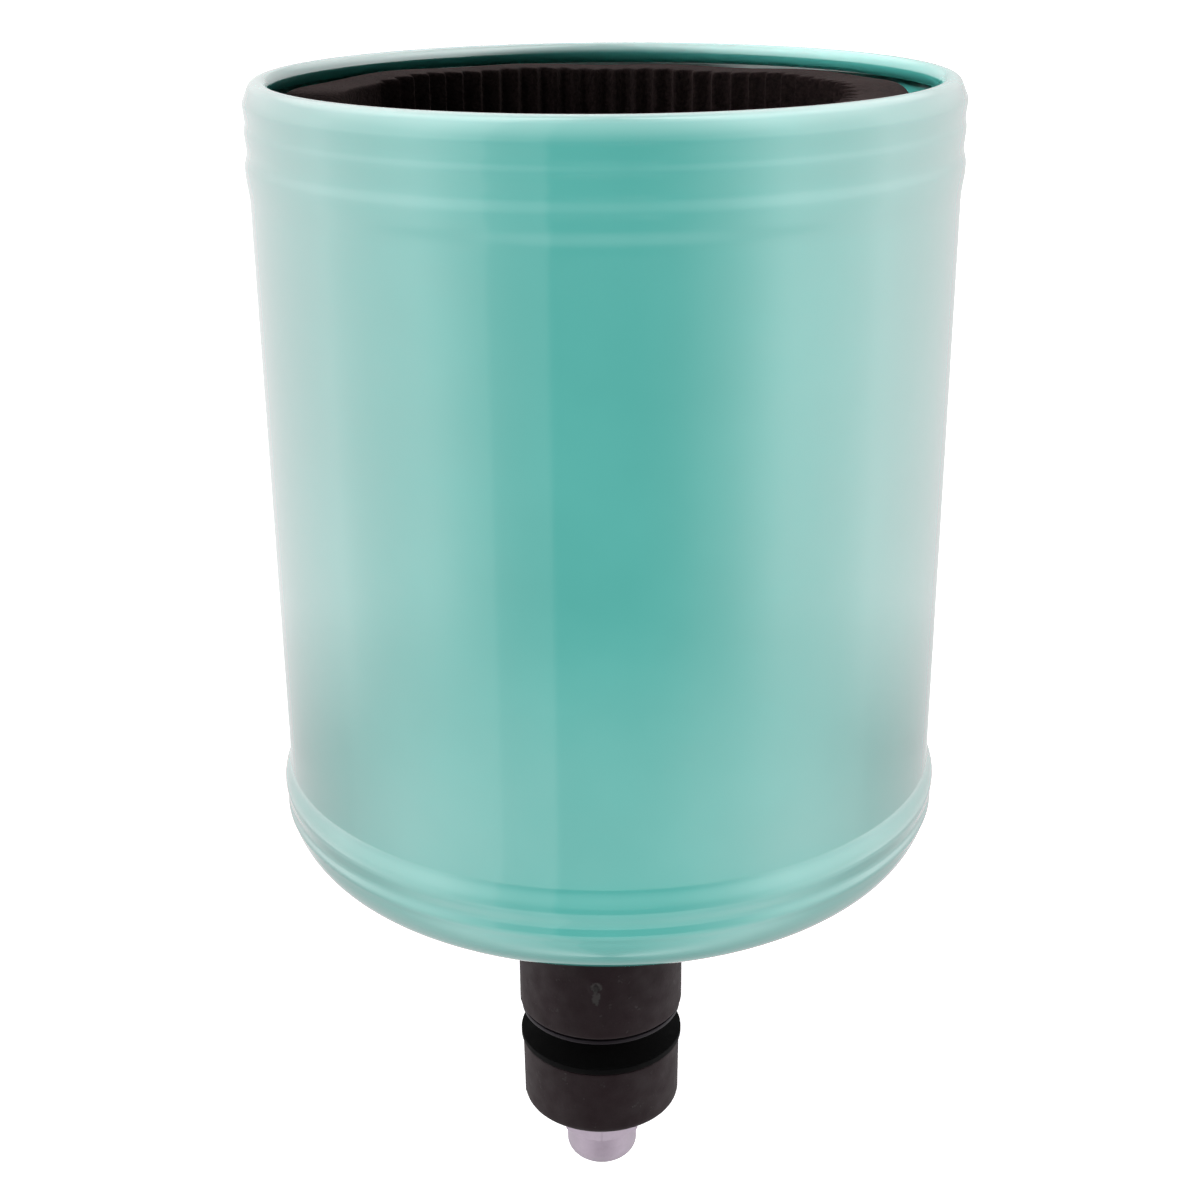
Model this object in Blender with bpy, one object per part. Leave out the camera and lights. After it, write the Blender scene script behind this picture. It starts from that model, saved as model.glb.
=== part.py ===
"""Handlebar drink holder: a painted steel cup with a foam liner, on a rubber clamp stem.

Metres, +Z up. The origin is on the bolt's axis, on the underside of the upper clamp washer,
where the bracket that carries the holder is gripped. The cup stands above the origin, a little
off the bolt's axis, and the lower half of the clamp hangs below it on the bolt.
"""

from math import asin, ceil, cos, hypot, pi, sin, tan

import bmesh
import bpy

GAP = 0.0003  # clearance between pieces that rest on each other
FINE, MEDIUM, COARSE = 48, 40, 24  # facets round the cup, the rubber blocks and the fasteners

# Cup
CUP_RADIUS = 0.0448
CUP_HOLE = 0.0047
CUP_OFFSET = 0.0014  # how far the oversize hole lets the cup stand off the bolt's axis
CUP_TOP = 0.1359
CUP_HEIGHT = 0.1058
SHEET = 0.0008
CORNER_RADIUS = 0.010
ROLL_RADIUS, ROLL_INSET = 0.0010, 0.0004  # the rolled rim's centre line, and its set back from the wall
ROLL_END, ROLL_START = 280, 25  # degrees of roll, so that its edge stays clear of the wall
# How far the wall stands proud of CUP_RADIUS at each depth below the rim: two beads under the
# rim, the plain wall, and two beads above the base.
SWAGES = (
    (0.0026, 0.00020), (0.0048, 0.00003), (0.0060, 0.00019), (0.0084, 0.00002), (0.0104, 0.00037),
    (0.0127, 0.0), (0.0905, 0.0), (0.0938, 0.00100), (0.0958, 0.00065), (0.0972, 0.00080),
)
SWAGE_STEP = 0.0017  # height of the facets on the beads
PANEL_RADIUS, PANEL_EDGE, PANEL_RISE = 0.0225, 0.0250, 0.0015  # raised middle of the floor

# Liner
LINER_OUTER, LINER_INNER = 0.0394, 0.0310
LINER_OFFSET = -0.0013  # the loose sleeve leans to one side of the cup
LINER_TOP = CUP_TOP - 0.0023
LINER_FOOT = CUP_TOP - 0.1022
LINER_SLIT = 0.0006
PAD_RADIUS, PAD_HOLE, PAD_THICKNESS = 0.0302, 0.0145, 0.0080

# Clamp stem, from the origin up and down
BOLT_RADIUS, BOLT_HOLE = 0.00295, 0.0033
NUT_THREAD_RADIUS = 0.00305
HEAD_FLATS, HEAD_HEIGHT = 0.010, 0.0040
CHAMFER_CIRCLE = 0.94  # of the distance across the flats, on the faces of the bolt's head and the nut
SLEEVE_RADIUS, SLEEVE_POCKET = 0.0050, 0.0053
UPPER_WASHER_RADIUS, UPPER_WASHER = 0.0119, 0.0006
BLOCK_RADIUS = 0.01215
BLOCK_EDGE = 0.0004
CLAMP_OPENING = 0.0042
LOWER_WASHER_RADIUS, LOWER_WASHER = 0.0121, 0.0009
LOWER_BLOCK_TOP_RADIUS, LOWER_BLOCK_FOOT_RADIUS = 0.0118, 0.0117
LOWER_BLOCK_FOOT = -0.0160
LOWER_BLOCK_EDGE = 0.0012
SUPPORT_WASHER_RADIUS, SUPPORT_WASHER = 0.0120, 0.0012
SEAL_RADIUS, SEAL = 0.0120, 0.0010
HEAD_WASHER_RADIUS, HEAD_WASHER = 0.0120, 0.0015
FLAT_WASHER_RADIUS, FLAT_WASHER = 0.0062, 0.0008
LOCK_WASHER_RADIUS, LOCK_WASHER, LOCK_SPLIT = 0.0056, 0.0011, 0.0008
NUT_FLATS, NUT_HEX = 0.011, 0.0030
NUT_CROWN_RADIUS, NUT_CROWN_SIDE, NUT_DOME = 0.00535, 0.0028, 0.0034  # round below the hexagon
NUT_BORE, NUT_DRILL_POINT = 0.0070, 0.0010
BOLT_POINT = 0.0006  # chamfer on the bolt's end
THREAD_REACH = 0.0030  # how far the bolt's end stands in the nut with the clamp open

# Heights worked out from the above
FLOOR_UNDER = CUP_TOP - CUP_HEIGHT
PANEL_UNDER = FLOOR_UNDER + PANEL_RISE
PANEL_TOP = PANEL_UNDER + SHEET
SEAL_FOOT = PANEL_TOP + GAP
HEAD_WASHER_FOOT = SEAL_FOOT + SEAL + GAP
HEAD_FOOT = HEAD_WASHER_FOOT + HEAD_WASHER + GAP
SUPPORT_FOOT = PANEL_UNDER - GAP - SUPPORT_WASHER
BLOCK_TOP, BLOCK_FOOT = SUPPORT_FOOT - GAP, UPPER_WASHER + GAP
LOWER_WASHER_FOOT = -CLAMP_OPENING - LOWER_WASHER
LOWER_BLOCK_TOP = LOWER_WASHER_FOOT - GAP
FLAT_WASHER_FOOT = LOWER_BLOCK_FOOT - GAP - FLAT_WASHER
LOCK_WASHER_FOOT = FLAT_WASHER_FOOT - GAP - LOCK_WASHER
NUT_TOP = LOCK_WASHER_FOOT - GAP
BOLT_END = NUT_TOP - THREAD_REACH


def clear_scene():
    for obj in list(bpy.data.objects):
        bpy.data.objects.remove(obj, do_unlink=True)


def material(name, colour, roughness, metallic=0.0):
    made = bpy.data.materials.new(name)
    made.use_nodes = True
    shader = made.node_tree.nodes["Principled BSDF"]
    shader.inputs["Base Color"].default_value = (*colour, 1.0)
    shader.inputs["Roughness"].default_value = roughness
    shader.inputs["Metallic"].default_value = metallic
    return made


def finished(name, bm, made_of=None):
    """Turns the bmesh into a named, smooth-shaded object."""
    bmesh.ops.remove_doubles(bm, verts=bm.verts, dist=1e-6)
    bmesh.ops.recalc_face_normals(bm, faces=bm.faces)
    mesh = bpy.data.meshes.new(name)
    bm.to_mesh(mesh)
    bm.free()
    mesh.shade_smooth()
    mesh.set_sharp_from_angle(angle=pi / 6)
    if made_of:
        mesh.materials.append(made_of)
    obj = bpy.data.objects.new(name, mesh)
    bpy.context.scene.collection.objects.link(obj)
    return obj


def shaped(obj, operation, name, bm):
    """Adds a Boolean to the object, with the bmesh as a hidden helper."""
    helper = finished(name, bm)
    helper.hide_render = True
    helper.display_type = "WIRE"
    helper.parent = obj
    step = obj.modifiers.new(name, "BOOLEAN")
    step.operation = operation
    step.solver = "EXACT"
    step.object = helper


def arc(centre, radius, start, end, steps):
    """Points on an arc, with its angles in degrees from +radius towards +height."""
    turns = [(start + (end - start) * i / steps) * pi / 180 for i in range(steps + 1)]
    return [(centre[0] + radius * cos(turn), centre[1] + radius * sin(turn)) for turn in turns]


def ring(inner, outer, foot, top, edge=0.0):
    """A flat ring's section, with its outer corners cut back by edge."""
    if not edge:
        return [(inner, foot), (outer, foot), (outer, top), (inner, top)]
    return [
        (inner, foot), (outer - edge, foot), (outer, foot + edge),
        (outer, top - edge), (outer - edge, top), (inner, top),
    ]


def thickened(path, thickness):
    """The closed section of a sheet whose middle follows the path."""
    left, right = [], []
    for i, (radius, height) in enumerate(path):
        before, after = path[max(i - 1, 0)], path[min(i + 1, len(path) - 1)]
        along = (after[0] - before[0], after[1] - before[1])
        scale = thickness / 2 / hypot(*along)
        left.append((radius - along[1] * scale, height + along[0] * scale))
        right.append((radius + along[1] * scale, height - along[0] * scale))
    return left + right[::-1]


def turned(outline, facets, closed=True):
    """A bmesh of the outline of (radius, height) points turned once round the Z axis."""
    bm = bmesh.new()
    points = [bm.verts.new((radius, 0.0, height)) for radius, height in outline]
    ends = points[1:] + points[:1] if closed else points[1:]
    edges = [bm.edges.new(pair) for pair in zip(points, ends)]
    bmesh.ops.spin(bm, geom=points + edges, axis=(0, 0, 1), cent=(0, 0, 0), angle=2 * pi, steps=facets)
    return bm


def split_ring(outline, slit, facets):
    """The section turned round the Z axis, with a slit of the given width left open at -X."""
    inner = min(radius for radius, height in outline)
    half_slit = asin(slit / 2 / inner)
    start = pi + half_slit
    bm = bmesh.new()
    corners = [bm.verts.new((r * cos(start), r * sin(start), z)) for r, z in outline]
    end = bm.faces.new(corners)
    bmesh.ops.spin(
        bm, geom=corners + list(end.edges) + [end], axis=(0, 0, 1), cent=(0, 0, 0),
        angle=2 * (pi - half_slit), steps=facets,
    )
    return bm


def hexagon(across_flats, foot, top):
    """A hexagonal prism on the Z axis."""
    bm = bmesh.new()
    across_corners = across_flats / cos(pi / 6)
    bmesh.ops.create_cone(
        bm, cap_ends=True, segments=6, radius1=across_corners / 2, radius2=across_corners / 2,
        depth=top - foot,
    )
    bmesh.ops.translate(bm, verts=bm.verts, vec=(0.0, 0.0, (foot + top) / 2))
    return bm


def corner_cone(across_flats, foot, top, cut_foot, cut_top):
    """The turned shape that trims a hexagon's corners at whichever end is cut."""
    across, reach = across_flats / 2 * CHAMFER_CIRCLE, across_flats * 0.7
    rise = (reach - across) * tan(pi / 6)
    outline = [(0.0, top + GAP)]
    outline += [(across, top), (reach, top - rise)] if cut_top else [(reach, top + GAP)]
    outline += [(reach, foot + rise), (across, foot)] if cut_foot else [(reach, foot - GAP)]
    outline += [(0.0, foot - GAP)]
    return turned(outline, COARSE, closed=False)


def swaged_wall(middle_radius):
    """The wall's middle line from the rim to the base, easing from each swage to the next."""
    line = []
    for (depth, proud), (next_depth, next_proud) in zip(SWAGES, SWAGES[1:]):
        steps = 1 if proud == next_proud else ceil((next_depth - depth) / SWAGE_STEP)
        for i in range(steps):
            ease = (1 - cos(pi * i / steps)) / 2
            radius = middle_radius + proud + (next_proud - proud) * ease
            line.append((radius, CUP_TOP - depth - (next_depth - depth) * i / steps))
    return line


def cup_shell(paint):
    """One drawn sheet: a rolled rim, beaded wall, rounded base and raised floor panel."""
    middle = CUP_RADIUS - SHEET / 2
    roll = (middle - ROLL_RADIUS - ROLL_INSET, CUP_TOP - ROLL_RADIUS - SHEET / 2)
    floor = FLOOR_UNDER + SHEET / 2
    bend = CORNER_RADIUS - SHEET / 2
    depth, proud = SWAGES[-1]
    corner = (middle + proud - bend, floor + bend)
    path = arc(roll, ROLL_RADIUS, ROLL_END, ROLL_START, 8)
    path += swaged_wall(middle)
    path += [(middle + proud, CUP_TOP - depth)] + arc(corner, bend, -12, -90, 6)
    path += [(PANEL_EDGE, floor), (PANEL_RADIUS, floor + PANEL_RISE), (CUP_HOLE, floor + PANEL_RISE)]
    shell = finished("cup_shell", turned(thickened(path, SHEET), FINE), paint)
    shell.location.x = CUP_OFFSET
    return shell


def foam_liner(foam):
    """A sheet of foam rolled into a loose sleeve, whose ends almost meet on the left."""
    sleeve = finished(
        "foam_liner", split_ring(ring(LINER_INNER, LINER_OUTER, LINER_FOOT, LINER_TOP), LINER_SLIT, FINE), foam
    )
    sleeve.location.x = CUP_OFFSET + LINER_OFFSET
    return sleeve


def floor_pad(foam):
    foot = PANEL_TOP + GAP
    pad = finished("floor_pad", turned(ring(PAD_HOLE, PAD_RADIUS, foot, foot + PAD_THICKNESS), MEDIUM), foam)
    pad.location.x = CUP_OFFSET + LINER_OFFSET
    return pad


def washer(name, outer, foot, thickness, made_of, edge=0.0):
    outline = ring(BOLT_HOLE, outer, foot, foot + thickness, edge)
    return finished(name, turned(outline, MEDIUM), made_of)


def sleeve(name, foot, top, steel):
    return finished(name, turned(ring(BOLT_HOLE, SLEEVE_RADIUS, foot, top), COARSE), steel)


def upper_block(rubber):
    outline = ring(SLEEVE_POCKET, BLOCK_RADIUS, BLOCK_FOOT, BLOCK_TOP, BLOCK_EDGE)
    return finished("upper_block", turned(outline, MEDIUM), rubber)


def lower_block(rubber):
    """The short block under the clamp, which narrows towards its rounded foot."""
    rounding = arc(
        (LOWER_BLOCK_FOOT_RADIUS - LOWER_BLOCK_EDGE, LOWER_BLOCK_FOOT + LOWER_BLOCK_EDGE),
        LOWER_BLOCK_EDGE, -90, 0, 4,
    )
    outline = [(SLEEVE_POCKET, LOWER_BLOCK_FOOT)] + rounding
    outline += [(LOWER_BLOCK_TOP_RADIUS, LOWER_BLOCK_TOP - BLOCK_EDGE)]
    outline += [(LOWER_BLOCK_TOP_RADIUS - BLOCK_EDGE, LOWER_BLOCK_TOP), (SLEEVE_POCKET, LOWER_BLOCK_TOP)]
    return finished("lower_block", turned(outline, MEDIUM), rubber)


def clamp_bolt(steel):
    """A hexagon bolt, whose head lies in the cup and whose thread ends inside the dome nut."""
    top = HEAD_FOOT + HEAD_HEIGHT
    bolt = finished("clamp_bolt", hexagon(HEAD_FLATS, HEAD_FOOT, top), steel)
    shaped(bolt, "INTERSECT", "head_corners", corner_cone(HEAD_FLATS, HEAD_FOOT, top, False, True))
    point = BOLT_RADIUS - BOLT_POINT
    shank = [(0.0, HEAD_FOOT + HEAD_HEIGHT / 2), (BOLT_RADIUS, HEAD_FOOT + HEAD_HEIGHT / 2)]
    shank += [(BOLT_RADIUS, BOLT_END + BOLT_POINT), (point, BOLT_END), (0.0, BOLT_END)]
    shaped(bolt, "UNION", "shank", turned(shank, COARSE, closed=False))
    return bolt


def lock_washer(steel):
    outline = ring(BOLT_HOLE, LOCK_WASHER_RADIUS, LOCK_WASHER_FOOT, LOCK_WASHER_FOOT + LOCK_WASHER)
    return finished("lock_washer", split_ring(outline, LOCK_SPLIT, COARSE), steel)


def dome_nut(steel):
    """A short hexagon on a round crown that ends in a shallow dome, with a blind threaded bore."""
    hex_foot = NUT_TOP - NUT_HEX
    nut = finished("dome_nut", hexagon(NUT_FLATS, hex_foot, NUT_TOP), steel)
    shaped(nut, "INTERSECT", "nut_corners", corner_cone(NUT_FLATS, hex_foot, NUT_TOP, True, True))
    crown = [(0.0, hex_foot + NUT_HEX / 2), (NUT_CROWN_RADIUS, hex_foot + NUT_HEX / 2)]
    for radius, drop in arc((0.0, 0.0), 1.0, 0, -90, 9):
        crown.append((NUT_CROWN_RADIUS * radius, hex_foot - NUT_CROWN_SIDE + NUT_DOME * drop))
    shaped(nut, "UNION", "crown", turned(crown, MEDIUM, closed=False))
    bore = [(0.0, NUT_TOP + GAP), (NUT_THREAD_RADIUS, NUT_TOP + GAP)]
    bore += [(NUT_THREAD_RADIUS, NUT_TOP - NUT_BORE), (0.0, NUT_TOP - NUT_BORE - NUT_DRILL_POINT)]
    shaped(nut, "DIFFERENCE", "bore", turned(bore, COARSE, closed=False))
    return nut


def carried(name, height, pieces, parent=None):
    """An empty on the bolt's axis at the given height, which carries the pieces when it moves."""
    empty = bpy.data.objects.new(name, None)
    empty.location.z = height
    empty.empty_display_size = BLOCK_RADIUS
    bpy.context.scene.collection.objects.link(empty)
    bpy.context.view_layer.update()
    for piece in pieces:
        piece.parent = empty
        piece.matrix_parent_inverse = empty.matrix_world.inverted()
    if parent:
        empty.parent = parent
        empty.matrix_parent_inverse = parent.matrix_world.inverted()
    return empty


def main():
    clear_scene()
    paint = material("turquoise_paint", (0.105, 0.42, 0.365), 0.12)
    foam = material("black_foam", (0.012, 0.010, 0.009), 0.95)
    rubber = material("black_rubber", (0.022, 0.019, 0.020), 0.55)
    zinc = material("zinc_plate", (0.62, 0.60, 0.60), 0.32, 1.0)
    black = material("black_oxide", (0.008, 0.008, 0.009), 0.50, 0.6)

    cup_shell(paint)
    washer("floor_seal", SEAL_RADIUS, SEAL_FOOT, SEAL, rubber)
    washer("head_washer", HEAD_WASHER_RADIUS, HEAD_WASHER_FOOT, HEAD_WASHER, zinc)
    washer("support_washer", SUPPORT_WASHER_RADIUS, SUPPORT_FOOT, SUPPORT_WASHER, zinc)
    floor_pad(foam)
    clamp_bolt(zinc)
    upper_block(rubber)
    sleeve("upper_sleeve", BLOCK_FOOT, BLOCK_TOP, zinc)
    washer("upper_clamp_washer", UPPER_WASHER_RADIUS, 0.0, UPPER_WASHER, zinc)

    carried("liner_lift", LINER_FOOT, [foam_liner(foam)])
    clamp = carried("clamp_travel", LOWER_WASHER_FOOT + LOWER_WASHER, [
        washer("lower_clamp_washer", LOWER_WASHER_RADIUS, LOWER_WASHER_FOOT, LOWER_WASHER, black),
        lower_block(rubber),
        sleeve("lower_sleeve", LOWER_BLOCK_FOOT, LOWER_BLOCK_TOP, zinc),
        washer("flat_washer", FLAT_WASHER_RADIUS, FLAT_WASHER_FOOT, FLAT_WASHER, zinc),
        lock_washer(zinc),
    ])
    carried("nut_turn", NUT_TOP, [dome_nut(zinc)], clamp)


main()
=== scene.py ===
"""The looks of the handlebar drink holder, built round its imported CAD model. Metres, +Z up."""

from math import ceil, cos, exp, hypot, log, pi, radians, sin

import bmesh
import bpy
from mathutils import Matrix, Vector


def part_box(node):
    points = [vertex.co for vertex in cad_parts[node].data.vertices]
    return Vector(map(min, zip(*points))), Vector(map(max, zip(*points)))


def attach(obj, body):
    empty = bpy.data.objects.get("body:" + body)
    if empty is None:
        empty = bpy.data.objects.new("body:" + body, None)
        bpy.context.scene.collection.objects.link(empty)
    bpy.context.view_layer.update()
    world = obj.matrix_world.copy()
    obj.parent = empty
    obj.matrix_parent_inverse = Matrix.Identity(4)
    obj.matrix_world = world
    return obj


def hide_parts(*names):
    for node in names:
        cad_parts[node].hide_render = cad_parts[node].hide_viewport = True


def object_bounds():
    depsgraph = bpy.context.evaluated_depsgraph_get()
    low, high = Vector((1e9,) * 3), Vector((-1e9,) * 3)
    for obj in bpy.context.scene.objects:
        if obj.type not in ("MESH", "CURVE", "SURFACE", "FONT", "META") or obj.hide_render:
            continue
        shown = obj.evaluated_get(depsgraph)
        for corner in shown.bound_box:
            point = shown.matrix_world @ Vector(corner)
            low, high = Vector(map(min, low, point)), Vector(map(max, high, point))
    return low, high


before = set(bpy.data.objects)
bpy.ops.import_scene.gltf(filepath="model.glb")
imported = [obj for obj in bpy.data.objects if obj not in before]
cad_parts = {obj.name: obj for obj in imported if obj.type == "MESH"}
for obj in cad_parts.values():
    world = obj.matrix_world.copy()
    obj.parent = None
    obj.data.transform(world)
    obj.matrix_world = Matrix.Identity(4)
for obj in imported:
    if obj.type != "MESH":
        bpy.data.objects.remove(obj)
cad_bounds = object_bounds()

# ---------------------------------------------------------------- sizes, which follow the CAD model
FACETS = 192  # round a turned piece, unless it says otherwise
BOLT_HOLE = 0.0033  # radius of the holes that the bolt passes through
SLEEVE_POCKET = 0.0053  # radius of the holes that the steel sleeves sit in
HEAD_FLAT, NUT_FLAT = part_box("clamp_bolt")[1].x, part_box("dome_nut")[1].x  # from the axis to a flat
CHAMFER_CIRCLE, CORNER_CIRCLE = 0.94, 1.19  # times that: where a chamfer starts, and past the corners
CHAMFER_SLOPE = 0.577  # of a chamfer at 30 degrees
THREAD_PITCH = 0.001

CUP_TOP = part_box("cup_shell")[1].z
CUP_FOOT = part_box("cup_shell")[0].z
CUP_RADIUS = 0.0448
CUP_AXIS = sum(corner.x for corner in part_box("cup_shell")) / 2  # the cup stands off the bolt's axis
CUP_HOLE = 0.0047  # radius of the hole that lets it
SHEET = 0.0008
CORNER_RADIUS = 0.010
ROLL_RADIUS, ROLL_INSET = 0.0010, 0.0004  # the rolled rim's centre line, and its set back from the wall
ROLL_END, ROLL_START = 280, 25  # degrees of roll
SWAGES = (  # depth below the rim, and how far the wall stands proud there: four eased beads
    (0.0026, 0.00020), (0.0048, 0.00003), (0.0060, 0.00019), (0.0084, 0.00002), (0.0104, 0.00037),
    (0.0148, 0.0), (0.0911, 0.0), (0.0941, 0.00095), (0.0961, 0.00065), (0.0974, 0.00080),
)
PANEL_RADIUS, PANEL_EDGE, PANEL_RISE = 0.0225, 0.0250, 0.0015  # raised middle of the floor

RIBS = 68  # round the inside of the foam sleeve
RIB_DEPTH = 0.0018
RIB_MARGIN = radians(26)  # plain foam on the far side of the sleeve's joint
GATE_TURN, GATE_HEIGHT = radians(-93), 0.0099  # where the rubber was fed into the mould
GATE_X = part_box("upper_block")[1].x * cos(GATE_TURN)


# ---------------------------------------------------------------- node helpers
class Nodes:
    """A node tree, with short calls for the nodes that the looks are made of."""

    def __init__(self, tree):
        self.tree = tree

    def feed(self, socket, value):
        """A constant, or another node's output, into a socket."""
        if isinstance(value, bpy.types.NodeSocket):
            self.tree.links.new(value, socket)
        elif isinstance(value, tuple) and len(value) == 3 and socket.type == "RGBA":
            socket.default_value = (*value, 1.0)
        else:
            socket.default_value = value

    def node(self, kind, output, settings=None, **inputs):
        """Adds a node and gives its output. An input is named, or numbered as _0, _1 and so on."""
        made = self.tree.nodes.new("ShaderNode" + kind)
        for name, value in (settings or {}).items():
            setattr(made, name, value)
        for name, value in inputs.items():
            key = int(name[1:]) if name[1:].isdigit() else name.replace("_", " ")
            self.feed(made.inputs[key], value)
        return made.outputs[output]

    def ramp(self, value, low, high, start=0.0, end=1.0):
        """The value's range from low to high as a range from start to end, held at both ends."""
        return self.node(
            "MapRange", "Result", Value=value, From_Min=low, From_Max=high, To_Min=start, To_Max=end
        )

    def math(self, operation, first, second=0.0):
        return self.node("Math", "Value", {"operation": operation}, _0=first, _1=second)

    def times(self, *values):
        result = values[0]
        for value in values[1:]:
            result = self.math("MULTIPLY", result, value)
        return result

    def plus(self, *values):
        result = values[0]
        for value in values[1:]:
            result = self.math("ADD", result, value)
        return result

    def colours(self, value, *stops):
        """A colour ramp through the (position, colour) stops."""
        made = self.tree.nodes.new("ShaderNodeValToRGB")
        self.feed(made.inputs["Fac"], value)
        points = made.color_ramp.elements
        while len(points) < len(stops):
            points.new(0.5)
        for point, (position, colour) in zip(points, stops):
            point.position, point.color = position, (*colour, 1.0)
        return made.outputs["Color"]

    def mixed(self, factor, first, second):
        made = self.tree.nodes.new("ShaderNodeMix")
        made.data_type = "RGBA"
        for index, value in ((0, factor), (6, first), (7, second)):
            self.feed(made.inputs[index], value)
        return made.outputs[2]


class Shader(Nodes):
    """A material's nodes round its Principled BSDF."""

    def __init__(self, name, colour, roughness, metallic=0.0, **sockets):
        self.material = bpy.data.materials.new(name)
        self.material.use_nodes = True
        super().__init__(self.material.node_tree)
        self.surface = self.tree.nodes["Principled BSDF"]
        self.set("Base Color", colour)
        self.set("Roughness", roughness)
        self.set("Metallic", metallic)
        for socket, value in sockets.items():
            self.set(socket.replace("_", " "), value)
        self.place = self.tree.nodes.new("ShaderNodeTexCoord").outputs["Object"]

    def set(self, socket, value):
        self.feed(self.surface.inputs[socket], value)

    def stretched(self, x, y, z):
        return self.node("Mapping", "Vector", Vector=self.place, Scale=(x, y, z))

    def noise(self, scale, detail=4.0, roughness=0.5, vector=None):
        return self.node(
            "TexNoise", "Fac", Vector=vector or self.place, Scale=scale, Detail=detail, Roughness=roughness
        )

    def bumped(self, *layers):
        """Stacks (height, depth in metres) layers into the surface's normal."""
        normal = None
        for height, depth in layers:
            made = self.tree.nodes.new("ShaderNodeBump")
            made.inputs["Strength"].default_value = 1.0
            made.inputs["Distance"].default_value = depth
            self.feed(made.inputs["Height"], height)
            if normal:
                self.feed(made.inputs["Normal"], normal)
            normal = made.outputs["Normal"]
        self.set("Normal", normal)


# ---------------------------------------------------------------- materials
def enamel():
    """Glossy turquoise enamel, with a slow drift of colour and a faint orange peel."""
    s = Shader("turquoise_enamel", (0.080, 0.415, 0.370), 0.085)
    mottle = s.noise(45.0, 3.0)
    s.set("Base Color", s.colours(mottle, (0.35, (0.076, 0.402, 0.358)), (0.65, (0.086, 0.428, 0.382))))
    s.set("Roughness", s.ramp(s.noise(260.0, 3.0), 0.35, 0.65, 0.075, 0.105))
    s.bumped((s.noise(700.0, 2.0), 0.000003))
    return s.material


def foam():
    """Black closed-cell foam: matt, brownish where the light catches it, with fine cut cells."""
    s = Shader("black_foam", (0.012, 0.009, 0.009), 1.0, Specular_IOR_Level=0.02)
    cells = s.node("TexVoronoi", "Distance", Vector=s.place, Scale=2600.0)
    grain = s.noise(1500.0, 4.0, 0.7)
    s.set("Base Color", s.colours(grain, (0.3, (0.006, 0.0045, 0.0045)), (0.7, (0.019, 0.013, 0.0125))))
    s.bumped((cells, 0.00012), (grain, 0.00010))
    return s.material


def rubbed_spot(s, width, height, up, ragged):
    """1 in a ragged spot of this half width and half height, up from the gate mark, and 0 elsewhere."""
    split = s.tree.nodes.new("ShaderNodeSeparateXYZ")
    s.feed(split.inputs["Vector"], s.place)
    x, y, z = split.outputs
    across = s.times(s.plus(x, -GATE_X), 1 / width)
    above = s.times(s.plus(z, -GATE_HEIGHT - up), 1 / height)
    away = s.plus(s.times(across, across), s.times(above, above), ragged)
    in_front = s.ramp(y, -0.008, -0.010)
    return s.times(s.ramp(away, 1.4, 0.4), in_front)


def rubber():
    """Moulded charcoal rubber: matt, faintly brown, fine-grained, scuffed, and rubbed at its gate mark."""
    s = Shader("charcoal_rubber", (0.005, 0.003, 0.003), 0.7, Specular_IOR_Level=0.075)
    bloom = s.noise(170.0, 5.0, 0.6)
    scuffs = s.ramp(s.noise(620.0, 6.0, 0.7), 0.62, 0.78)
    worn = s.colours(bloom, (0.3, (0.0038, 0.0018, 0.0022)), (0.75, (0.0062, 0.0032, 0.0040)))
    ragged = s.ramp(s.noise(1600.0, 3.0), 0.35, 0.65, -0.5, 0.5)
    below_gate = rubbed_spot(s, 0.0006, 0.0011, -0.0018, ragged)
    round_gate = rubbed_spot(s, 0.0008, 0.0008, 0.0, ragged)
    spots = s.ramp(s.plus(below_gate, round_gate), 0.0, 1.0, 0.0, 0.85)
    rubbed = s.mixed(spots, worn, (0.034, 0.031, 0.031))
    s.set("Base Color", s.mixed(scuffs, rubbed, (0.036, 0.032, 0.032)))
    s.set("Roughness", s.ramp(s.noise(420.0, 4.0), 0.3, 0.7, 0.64, 0.78))
    s.bumped((s.noise(2600.0, 3.0), 0.00002), (bloom, 0.00005))
    return s.material


def zinc(name="zinc_plate", shade=1.0, specular=0.5):
    """Hazy mauve-grey zinc plate with fine scratches. A shade below 1 darkens its colour, as painted
    shade.
    """
    s = Shader(name, (0.28, 0.235, 0.29), 0.5, 0.2, Specular_IOR_Level=specular)
    haze = s.noise(700.0, 5.0, 0.6)
    dark = tuple(shade * part for part in (0.24, 0.194, 0.243))
    light = tuple(shade * part for part in (0.285, 0.235, 0.288))
    s.set("Base Color", s.colours(haze, (0.3, dark), (0.7, light)))
    s.set("Roughness", s.ramp(haze, 0.3, 0.7, 0.42, 0.56))
    s.bumped((s.noise(1.0, 3.0, 0.5, s.stretched(900.0, 900.0, 4200.0)), 0.000006))
    return s.material


def black_steel():
    """Black oxide on a stamped washer, with slightly shinier rubbed spots."""
    s = Shader("black_oxide", (0.001, 0.001, 0.001), 0.8, Specular_IOR_Level=0.02)
    rubbed = s.noise(900.0, 4.0)
    tones = s.colours(rubbed, (0.3, (0.0006, 0.0006, 0.0006)), (0.75, (0.0014, 0.0014, 0.0015)))
    s.set("Base Color", tones)
    s.set("Roughness", s.ramp(rubbed, 0.3, 0.7, 0.65, 0.80))
    s.bumped((s.noise(2000.0, 3.0), 0.00001))
    return s.material


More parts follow.
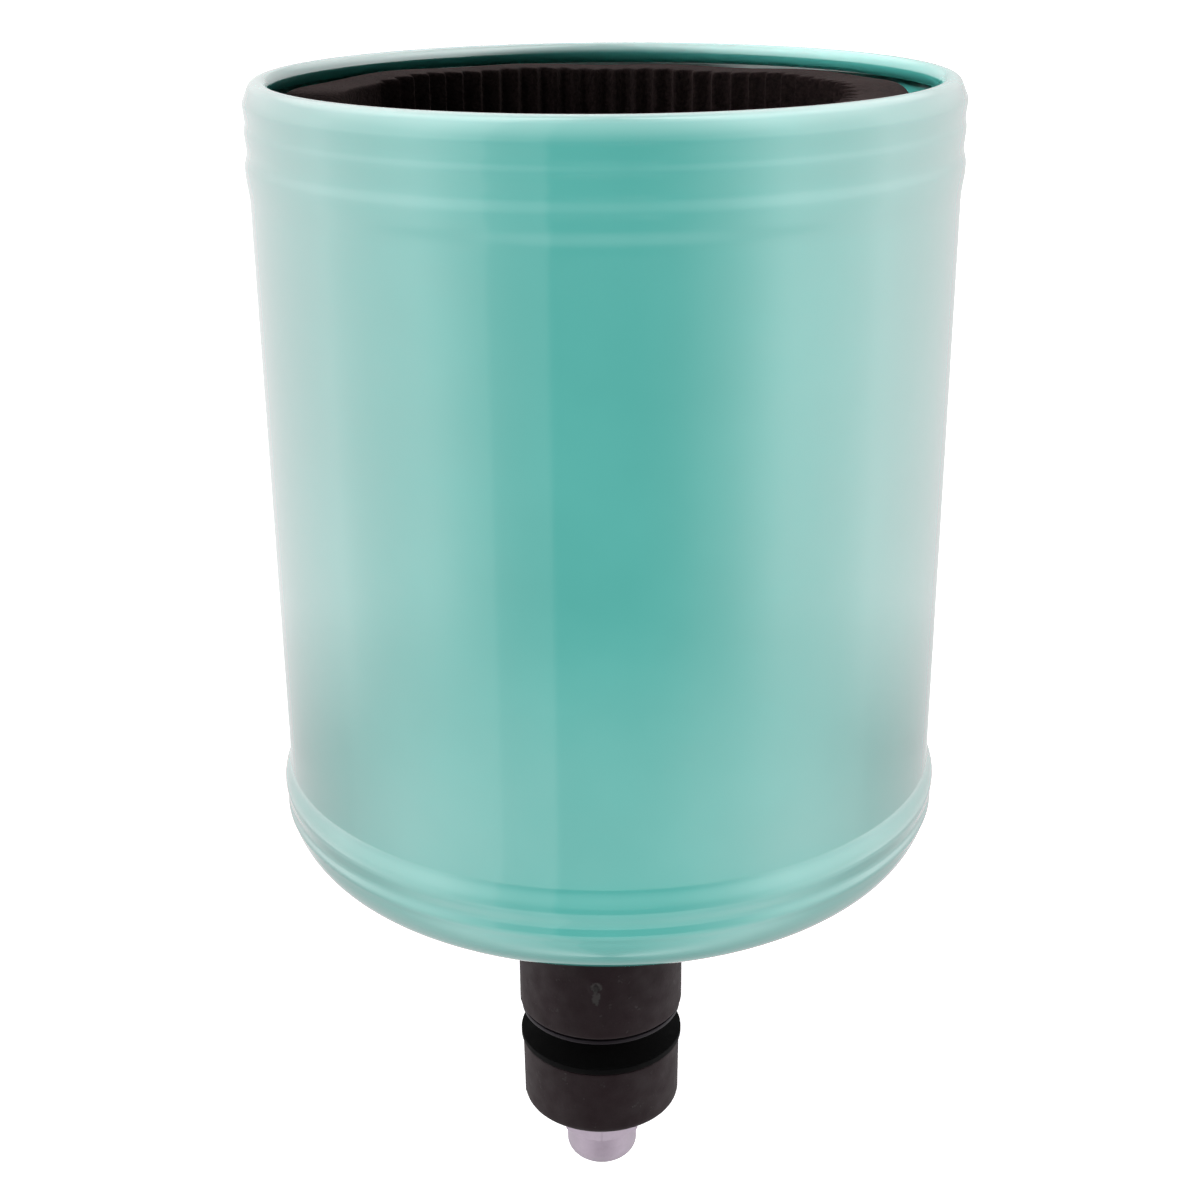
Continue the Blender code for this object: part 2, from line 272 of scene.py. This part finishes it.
# ---------------------------------------------------------------- mesh helpers
def piece(name, bm, material, body, slot, *nodes, angle=35):
    """Makes the bmesh a finished piece that rides on the body and stands for the CAD nodes."""
    bmesh.ops.remove_doubles(bm, verts=bm.verts, dist=1e-7)
    bmesh.ops.recalc_face_normals(bm, faces=bm.faces)
    mesh = bpy.data.meshes.new(name)
    bm.to_mesh(mesh)
    bm.free()
    mesh.shade_smooth()
    mesh.set_sharp_from_angle(angle=radians(angle))
    mesh.materials.append(material)
    obj = bpy.data.objects.new(name, mesh)
    bpy.context.scene.collection.objects.link(obj)
    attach(obj, body)
    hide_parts(*nodes)
    return obj


def turned(outline, facets=FACETS, closed=True, shape=None):
    """The (radius, height) outline turned round the Z axis. shape can move each point as it turns."""
    bm = bmesh.new()
    rings = []
    for radius, height in outline:
        ring = []
        for i in range(facets):
            turn = 2 * pi * i / facets
            r, z = shape(turn, radius, height) if shape else (radius, height)
            ring.append(bm.verts.new((r * cos(turn), r * sin(turn), z)))
        rings.append(ring)
    for ring, after in zip(rings, rings[1:] + rings[:1] if closed else rings[1:]):
        for i in range(facets):
            bm.faces.new((ring[i], ring[i - 1], after[i - 1], after[i]))
    return bm


def rolled(outline, slit, steps, shape):
    """The closed outline turned round the Z axis from one side of a slit at -X to its other side."""
    bm = bmesh.new()
    sections = []
    for i in range(steps + 1):
        turn = slit / 2 + (2 * pi - slit) * i / steps
        section = []
        for radius, height in outline:
            r, z = shape(turn, radius, height)
            section.append(bm.verts.new((-r * cos(turn), -r * sin(turn), z)))
        sections.append(section)
    for section, after in zip(sections, sections[1:]):
        for k in range(len(outline)):
            bm.faces.new((section[k], section[k - 1], after[k - 1], after[k]))
    bm.faces.new(sections[0])
    bm.faces.new(sections[-1])
    return bm


def arc(centre, radius, start, end, steps):
    """Points on an arc, with its angles in degrees from +radius towards +height."""
    turns = [radians(start + (end - start) * i / steps) for i in range(steps + 1)]
    return [(centre[0] + radius * cos(turn), centre[1] + radius * sin(turn)) for turn in turns]


def rounded(corners, radius, steps=5):
    """A closed outline with each corner rounded: a quadratic bend between points on its two sides."""
    line = []
    for i, corner in enumerate(corners):
        here = Vector(corner)
        before, after = Vector(corners[i - 1]), Vector(corners[(i + 1) % len(corners)])
        start = here + (before - here).normalized() * min(radius, (before - here).length / 2)
        end = here + (after - here).normalized() * min(radius, (after - here).length / 2)
        for k in range(steps + 1):
            t = k / steps
            line.append(tuple(start * (1 - t) ** 2 + here * 2 * t * (1 - t) + end * t * t))
    return line


def filled(line, step, closed=True):
    """The same line with points added, so that none are further apart than step."""
    result = []
    for here, after in zip(line, line[1:] + line[:1] if closed else line[1:]):
        count = max(1, ceil(hypot(after[0] - here[0], after[1] - here[1]) / step))
        for i in range(count):
            t = i / count
            result.append((here[0] + (after[0] - here[0]) * t, here[1] + (after[1] - here[1]) * t))
    return result if closed else result + [line[-1]]


def thickened(path, thickness):
    """The closed section of a sheet whose middle follows the path."""
    left, right = [], []
    for i, (radius, height) in enumerate(path):
        before, after = path[max(i - 1, 0)], path[min(i + 1, len(path) - 1)]
        along = (after[0] - before[0], after[1] - before[1])
        scale = thickness / 2 / hypot(*along)
        left.append((radius - along[1] * scale, height + along[0] * scale))
        right.append((radius + along[1] * scale, height - along[0] * scale))
    return left + right[::-1]


def bump_at(offset, width):
    """A round hill of height 1 over the offset, falling away over the width."""
    return exp(-((offset / width) ** 2))


def lesser(first, second, blend):
    """The smaller of two lengths, easing from one to the other where they are close."""
    nearest = min(first, second)
    return nearest - blend * log(exp((nearest - first) / blend) + exp((nearest - second) / blend))


def hexagon_radius(turn, flat):
    """From the axis to the side of a hexagon, with its six edges slightly rounded."""
    sharpness = 90
    total = sum(abs(cos(turn - side * pi / 3)) ** sharpness for side in range(3))
    return flat / total ** (1 / sharpness)


def hexed(turn, radius, flat):
    """Trims a turned outline to a hexagon, which leaves the chamfers of a nut or a bolt's head."""
    return lesser(radius, hexagon_radius(turn, flat), 0.00004)


# ---------------------------------------------------------------- cup
def wall_line(middle_radius, step=0.0003):
    """The wall's middle line from the rim to the base, easing from each swage to the next."""
    line = []
    for (depth, proud), (next_depth, next_proud) in zip(SWAGES, SWAGES[1:]):
        steps = ceil((next_depth - depth) / (0.004 if proud == next_proud else step))
        for i in range(steps):
            ease = (1 - cos(pi * i / steps)) / 2
            radius = middle_radius + proud + (next_proud - proud) * ease
            line.append((radius, CUP_TOP - depth - (next_depth - depth) * i / steps))
    return line


def build_cup(material):
    middle = CUP_RADIUS - SHEET / 2
    roll = (middle - ROLL_RADIUS - ROLL_INSET, CUP_TOP - ROLL_RADIUS - SHEET / 2)
    floor = CUP_FOOT + SHEET / 2
    bend = CORNER_RADIUS - SHEET / 2
    depth, proud = SWAGES[-1]
    corner = (middle + proud - bend, floor + bend)
    path = arc(roll, ROLL_RADIUS, ROLL_END, ROLL_START, 26) + wall_line(middle)
    path += [(middle + proud, CUP_TOP - depth)] + arc(corner, bend, -12, -90, 20)
    step = [(PANEL_EDGE, floor), (PANEL_RADIUS, floor + PANEL_RISE), (CUP_HOLE, floor + PANEL_RISE)]
    path += rounded([path[-1], *step], 0.0010)[6:]  # without the bend at the point it starts from
    cup = piece("cup", turned(thickened(path, SHEET)), material, "holder", "cup_paint", "cup_shell")
    cup.data.transform(Matrix.Translation((CUP_AXIS, 0.0, 0.0)))


# ---------------------------------------------------------------- foam
def build_liner(material):
    """A sheet of ribbed foam rolled into a loose sleeve, uneven where it was cut and squeezed."""
    low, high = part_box("foam_liner")
    centre = (low.x + high.x) / 2
    outer = (high.x - low.x) / 2
    tip = 0.0310
    valley = tip + RIB_DEPTH
    slit = 0.0005 / tip

    def shape(turn, radius, height):
        from_joint = min(turn, 2 * pi - turn)
        rise = (height - low.z) / (high.z - low.z)
        # Not quite round, and pressed in at one side of its top, less so at its inner face
        sway = 0.00035 * sin(2 * turn + 0.6) + 0.00022 * sin(5 * turn + 2.0) * rise
        squeeze = 0.0011 * bump_at(turn - radians(292), radians(15)) * rise ** 3
        inward = max(0.0, (outer - 0.001 - radius) / (outer - valley))
        if radius < valley + 0.0005:
            ribs = (0.5 - 0.5 * cos(RIBS * turn)) ** 0.75
            plain = turn > 2 * pi - RIB_MARGIN or turn < radians(5)
            radius += RIB_DEPTH * (0.35 if plain else ribs)
        # The cut top edge waves a little, and dips at the joint
        top = rise ** 12
        dip = 0.0011 * bump_at(from_joint * radius, 0.0022) * top
        wave = (0.0002 + 0.00025 * sin(3 * turn + 1.0) + 0.00012 * sin(11 * turn)) * top
        return radius + sway - squeeze * (1 - 0.35 * inward), height - dip - wave

    corners = [(tip, low.z), (outer, low.z), (outer, high.z), (tip, high.z)]
    outline = filled(rounded(corners, 0.0006, 4), 0.006)
    sleeve = piece(
        "ribbed_foam_sleeve", rolled(outline, slit, RIBS * 12, shape), material,
        "liner", "foam", "foam_liner", angle=70,
    )
    sleeve.data.transform(Matrix.Translation((centre, 0.0, 0.0)))


def build_floor_pad(material):
    """A die-cut foam ring on the cup's floor, crowned and a little pressed by what has stood on it."""
    low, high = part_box("floor_pad")
    centre, outer = (low.x + high.x) / 2, (high.x - low.x) / 2
    inner = 0.0145

    def shape(turn, radius, height):
        rise = (height - low.z) / (high.z - low.z)
        across = (radius - inner) / (outer - inner)
        crown = 0.0009 * (1 - 4 * across * (1 - across))
        wave = 0.0002 * sin(3 * turn) + 0.0001 * sin(7 * turn + 1.0)
        return radius + 0.00015 * sin(4 * turn + 0.5), height - (crown + max(0.0, wave)) * rise

    corners = [(inner, low.z), (outer, low.z), (outer, high.z), (inner, high.z)]
    outline = filled(rounded(corners, 0.0009), 0.0012)
    pad = piece(
        "foam_floor_pad", turned(outline, 128, shape=shape), material, "holder", "foam", "floor_pad",
    )
    pad.data.transform(Matrix.Translation((centre, 0.0, 0.0)))


# ---------------------------------------------------------------- clamp stem
def build_ring(name, node, edge, material, body, slot):
    """A washer, seal or sleeve round the bolt, in its CAD node's place, with its edges rounded."""
    low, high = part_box(node)
    corners = [(BOLT_HOLE, low.z), (high.x, low.z), (high.x, high.z), (BOLT_HOLE, high.z)]
    piece(name, turned(rounded(corners, edge, 4), 128), material, body, slot, node)


def build_upper_block(material):
    """The tall rubber block: a gate mark in front, a faint mould line, and rounded edges."""
    low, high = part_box("upper_block")

    def shape(turn, radius, height):
        if radius < SLEEVE_POCKET + 0.001:
            return radius, height
        around = (turn - GATE_TURN + pi) % (2 * pi) - pi
        across, up = around * radius, height - GATE_HEIGHT
        pit = 0.00075 * bump_at(hypot(across, up * 0.8), 0.00034)
        lip = 0.00012 * bump_at(hypot(across, up) - 0.00085, 0.0003)
        scrape = 0.00010 * bump_at(across - 0.0001, 0.0005) * bump_at(up + 0.0019, 0.0011)
        line = 0.00006 * bump_at(sin(turn - 0.15) * radius, 0.00022)
        return radius - pit + lip + line - scrape, height

    corners = [(SLEEVE_POCKET, low.z), (high.x, low.z), (high.x, high.z), (SLEEVE_POCKET, high.z)]
    outline = filled(rounded(corners, 0.0006), 0.0003)
    piece(
        "rubber_block_upper", turned(outline, 360, shape=shape), material,
        "holder", "rubber", "upper_block",
    )


def build_lower_block(material):
    """The short rubber block, which narrows towards its well-rounded foot."""
    low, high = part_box("lower_block")
    foot, edge = 0.0117, 0.0012

    def shape(turn, radius, height):
        line = 0.00006 * bump_at(sin(turn - 0.15) * radius, 0.00022) if radius > 0.010 else 0.0
        return radius + line, height

    side = [(foot, low.z + edge), (high.x, high.z - 0.0005)]
    top_corner = [(high.x, high.z - 0.0005), (high.x, high.z), (SLEEVE_POCKET, high.z)]
    top = rounded(top_corner, 0.0004)[6:12]  # the bend of the middle corner alone
    outline = [(SLEEVE_POCKET, low.z)] + arc((foot - edge, low.z + edge), edge, -90, 0, 10)
    outline += filled(side, 0.0006, closed=False)[1:] + top + [(SLEEVE_POCKET, high.z)]
    piece(
        "rubber_block_lower", turned(outline, 300, shape=shape), material,
        "lower_clamp", "rubber", "lower_block",
    )


def build_bolt(material):
    """A hexagon bolt: chamfered head, washer face, plain shank, and a rolled thread to its end."""
    low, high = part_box("clamp_bolt")
    head_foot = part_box("head_washer")[1].z + 0.0003
    shank, thread_top = 0.00295, 0.0040

    def shape(turn, radius, height):
        if height < thread_top and radius > shank * 0.8:
            ridge = abs(((height / THREAD_PITCH - turn / (2 * pi)) % 1.0) * 2 - 1)
            fade = min(1.0, (thread_top - height) / 0.0015)
            return radius - 0.00048 * min(1.0, max(0.0, ridge * 1.25 - 0.12)) * fade, height
        return hexed(turn, radius, HEAD_FLAT), height

    flat, reach = HEAD_FLAT * CHAMFER_CIRCLE, HEAD_FLAT * CORNER_CIRCLE
    slope = [(flat, high.z), (reach, high.z - (reach - flat) * CHAMFER_SLOPE)]
    foot = [(reach, head_foot + 0.0003), (flat, head_foot + 0.0001), (flat, head_foot)]
    neck = [(shank, head_foot), (shank, thread_top)]
    outline = [(0.0, high.z)] + filled(slope, 0.00006, closed=False) + filled(foot, 0.0003, closed=False)
    outline += neck + filled([neck[-1], (shank, low.z + 0.0006)], 0.0001, closed=False)[1:]
    outline += [(shank - 0.0006, low.z), (0.0, low.z)]
    piece(
        "hex_bolt", turned(outline, 144, False, shape), material, "holder", "zinc", "clamp_bolt", angle=28,
    )


def build_nut(material):
    """A dome nut: a chamfered hexagon over a smooth round crown, with a blind hole for the bolt."""
    low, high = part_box("dome_nut")
    bore, bore_depth, drill_point = 0.00305, 0.0070, 0.0010
    hexagon, crown, dome = 0.0030, 0.00535, 0.0034
    flat, reach = NUT_FLAT * CHAMFER_CIRCLE, NUT_FLAT * CORNER_CIRCLE
    slope, foot_slope = (reach - flat) * CHAMFER_SLOPE, (reach - crown) * CHAMFER_SLOPE
    hex_foot = high.z - hexagon

    def shape(turn, radius, height):
        return hexed(turn, radius, NUT_FLAT), height

    side = [(flat, high.z), (reach, high.z - slope), (reach, hex_foot + foot_slope), (crown, hex_foot)]
    outline = [(0.0, high.z - bore_depth - drill_point), (bore, high.z - bore_depth)]
    outline += [(bore, high.z - 0.0003), (bore + 0.0003, high.z)]
    outline += filled(side, 0.00007, closed=False)
    outline += [(crown * r, low.z + dome + dome * drop) for r, drop in arc((0.0, 0.0), 1.0, 0, -90, 28)]
    outline[-1] = (0.0, low.z)
    piece(
        "dome_nut_piece", turned(outline, 216, False, shape), material,
        "nut", "zinc", "dome_nut", angle=28,
    )


def build_lock_washer(material):
    """A split spring washer, whose cut ends stand slightly apart in height."""
    low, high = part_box("lock_washer")

    def shape(turn, radius, height):
        tilt = (turn / pi - 1) * 0.00006
        return radius, min(max(height + tilt, low.z), high.z)

    corners = [(BOLT_HOLE, low.z), (high.x, low.z), (high.x, high.z), (BOLT_HOLE, high.z)]
    split = 0.0008 / BOLT_HOLE
    piece(
        "split_lock_washer", rolled(rounded(corners, 0.0002, 3), split, 120, shape), material,
        "lower_clamp", "zinc", "lock_washer",
    )


# ---------------------------------------------------------------- camera, light and floor
CAMERA_DISTANCE = 0.2432  # from the cup's axis
CAMERA_ABOVE_RIM = 0.02395
CAMERA_TILT, CAMERA_YAW, CAMERA_ROLL = 21.32, 0.2531, 0.44  # degrees down, to the left, and clockwise
SENSOR, LENS = 36.0, 56.37  # the camera's own millimetres

# Brightness of the studio, where 1 is the white of the backdrop
BACKDROP = 1.03
FRONT_LIGHT = 0.62
SIDE_LIGHT = 5.25
OVERHEAD_LIGHT = 5.0
AMBIENT = 0.07
FLOOR_DROP = 0.9  # the holder hangs this far above the floor, as it does on a handlebar


def build_camera():
    data = bpy.data.cameras.new("camera")
    data.sensor_width, data.lens = SENSOR, LENS
    data.clip_start, data.clip_end = 0.01, 40.0
    camera = bpy.data.objects.new("camera", data)
    bpy.context.scene.collection.objects.link(camera)
    place = Matrix.Translation((CUP_AXIS, -CAMERA_DISTANCE, CUP_TOP + CAMERA_ABOVE_RIM))
    yaw = Matrix.Rotation(radians(CAMERA_YAW), 4, "Z")
    look = Matrix.Rotation(radians(90 - CAMERA_TILT), 4, "X")
    roll = Matrix.Rotation(radians(-CAMERA_ROLL), 4, "Z")
    camera.matrix_world = place @ yaw @ look @ roll
    bpy.context.scene.camera = camera


def soft_box(name, place, size, brightness, target=(0.0, 0.0, 0.05), spread=180):
    """A soft light that shades the surfaces and leaves their gloss to the studio's walls."""
    data = bpy.data.lights.new(name, "AREA")
    data.shape = "RECTANGLE"
    data.size, data.size_y = size
    data.energy = brightness * pi * size[0] * size[1]
    data.spread = radians(spread)
    light = bpy.data.objects.new(name, data)
    light.location = place
    light.rotation_euler = (Vector(target) - Vector(place)).to_track_quat("-Z", "Y").to_euler()
    light.visible_glossy = light.visible_camera = False
    bpy.context.scene.collection.objects.link(light)


def build_walls():
    """The studio as gloss sees it: dim in front, and bright at both sides, overhead and on the table."""
    world = bpy.data.worlds.new("studio")
    world.use_nodes = True
    n = Nodes(world.node_tree)
    split = n.tree.nodes.new("ShaderNodeSeparateXYZ")
    n.feed(split.inputs["Vector"], n.node("TexCoord", "Generated"))
    x, y, z = split.outputs
    across = n.math("SQRT", n.plus(n.times(x, x), n.times(y, y)))
    front = n.math("DIVIDE", n.times(y, -1.0), across)  # 1 straight in front, -1 straight behind
    left, right = n.ramp(x, 0.01, -0.01), n.ramp(x, -0.01, 0.01)

    # The side walls brighten away from the front, fade out behind, and are dimmer low down
    eased = {"interpolation_type": "SMOOTHSTEP"}
    rise = n.node("MapRange", "Result", eased, Value=front, From_Min=0.96, From_Max=0.46)
    fall = n.ramp(n.math("SUBTRACT", front, n.times(right, 0.03)), -1.05, -0.15)
    low_walls = n.ramp(z, -0.43, -0.36, 0.50, 1.0)
    lowest = n.ramp(z, -0.60, -0.54, 0.60, 1.0)
    high_walls = n.ramp(z, -0.45, 0.15, 0.93, 1.15)
    strength = n.ramp(x, -1.0, 1.0, SIDE_LIGHT * 0.95, SIDE_LIGHT * 1.0)
    sides = n.times(rise, fall, low_walls, high_walls, strength)

    # Two sharp steps of brightness at the left of the dim front, and a soft one at its right
    inner_edge = n.ramp(front, 0.958, 0.950, 0.0, 0.95)
    outer_edge = n.ramp(front, 0.805, 0.795, 0.0, 0.80)
    right_edge = n.ramp(front, 0.99, 0.86, 0.0, 0.90)
    steps = n.plus(n.times(n.plus(inner_edge, outer_edge), left), n.times(right_edge, right))
    middle = n.times(steps, n.ramp(rise, 0.0, 1.0, 1.0, 0.0))

    # The table below, darker behind and straight down, and the ceiling above
    table = n.times(n.ramp(z, -0.38, -0.45, 0.0, 1.8), n.ramp(front, -0.2, 0.3, 0.1, 1.0))
    table = n.times(table, n.ramp(z, -0.95, -0.85, 0.5, 1.0))
    ceiling = n.ramp(z, 0.0, 0.35, 0.0, 1.1)
    overhead = n.ramp(z, 0.35, 0.80, 0.0, OVERHEAD_LIGHT)
    gloss = n.plus(n.times(n.plus(sides, middle), lowest), table, ceiling, overhead, FRONT_LIGHT)

    path = n.tree.nodes.new("ShaderNodeLightPath")
    shaded = n.node("Mix", "Result", Factor=path.outputs["Is Glossy Ray"], A=AMBIENT, B=gloss)
    seen = n.node("Mix", "Result", Factor=path.outputs["Is Camera Ray"], A=shaded, B=BACKDROP)
    n.feed(n.tree.nodes["Background"].inputs["Strength"], seen)
    n.feed(n.tree.nodes["Background"].inputs["Color"], (1.0, 1.0, 1.0))
    bpy.context.scene.world = world


def build_studio():
    bpy.context.scene.view_settings.view_transform = "Standard"
    build_walls()
    soft_box("front_box", (0.0, -0.42, 0.09), (0.25, 0.09), 19.5, (0.0, 0.0, 0.09))
    soft_box("back_box", (0.0, 1.3, 0.3), (1.2, 1.2), 1.5)
    soft_box("top_box", (0.0, -0.2, 1.3), (1.2, 1.2), 0.9)
    soft_box("inner_box", (-0.035, -0.03, 0.19), (0.03, 0.03), 4.0, (0.041, 0.016, 0.124), spread=56)
    bpy.ops.mesh.primitive_plane_add(size=40.0, location=(0.0, 0.0, cad_bounds[0][2] - FLOOR_DROP))
    floor = bpy.context.object
    floor.name = "studio_floor"
    shader = Shader("studio_floor", (0.9, 0.9, 0.9), 0.9, Emission_Strength=BACKDROP - 0.05)
    shader.set("Emission Color", (1.0, 1.0, 1.0))
    floor.data.materials.append(shader.material)
    floor.visible_diffuse = floor.visible_glossy = False


# ---------------------------------------------------------------- the whole
def main():
    build_camera()
    paint, black_foam, black_rubber, plate, black = enamel(), foam(), rubber(), zinc(), black_steel()
    # The upper clamp washer's zinc colour is darkened to 3 percent: painted shade, for the shadow it sits
    # in under the upper rubber block.
    painted_shade_plate = zinc("painted_shade_zinc_plate", 0.03, 0.04)
    build_cup(paint)
    build_liner(black_foam)
    build_floor_pad(black_foam)
    build_upper_block(black_rubber)
    build_lower_block(black_rubber)
    build_bolt(plate)
    build_nut(plate)
    build_lock_washer(plate)
    for name, node, edge, material, body, slot in (
        ("bolt_head_washer", "head_washer", 0.00025, plate, "holder", "zinc"),
        ("rubber_floor_seal", "floor_seal", 0.00030, black_rubber, "holder", "rubber"),
        ("cup_support_washer", "support_washer", 0.00025, plate, "holder", "zinc"),
        ("upper_spacer_tube", "upper_sleeve", 0.00015, plate, "holder", "zinc"),
        # painted shade: the upper clamp washer's zinc is drawn near black, as if in the shadow of the
        # upper block
        ("clamp_washer_upper", "upper_clamp_washer", 0.00020, painted_shade_plate, "holder", "zinc"),
        ("clamp_washer_lower", "lower_clamp_washer", 0.00012, black, "lower_clamp", "black_steel"),
        ("lower_spacer_tube", "lower_sleeve", 0.00015, plate, "lower_clamp", "zinc"),
        ("nut_flat_washer", "flat_washer", 0.00020, plate, "lower_clamp", "zinc"),
    ):
        build_ring(name, node, edge, material, body, slot)
    build_studio()


main()
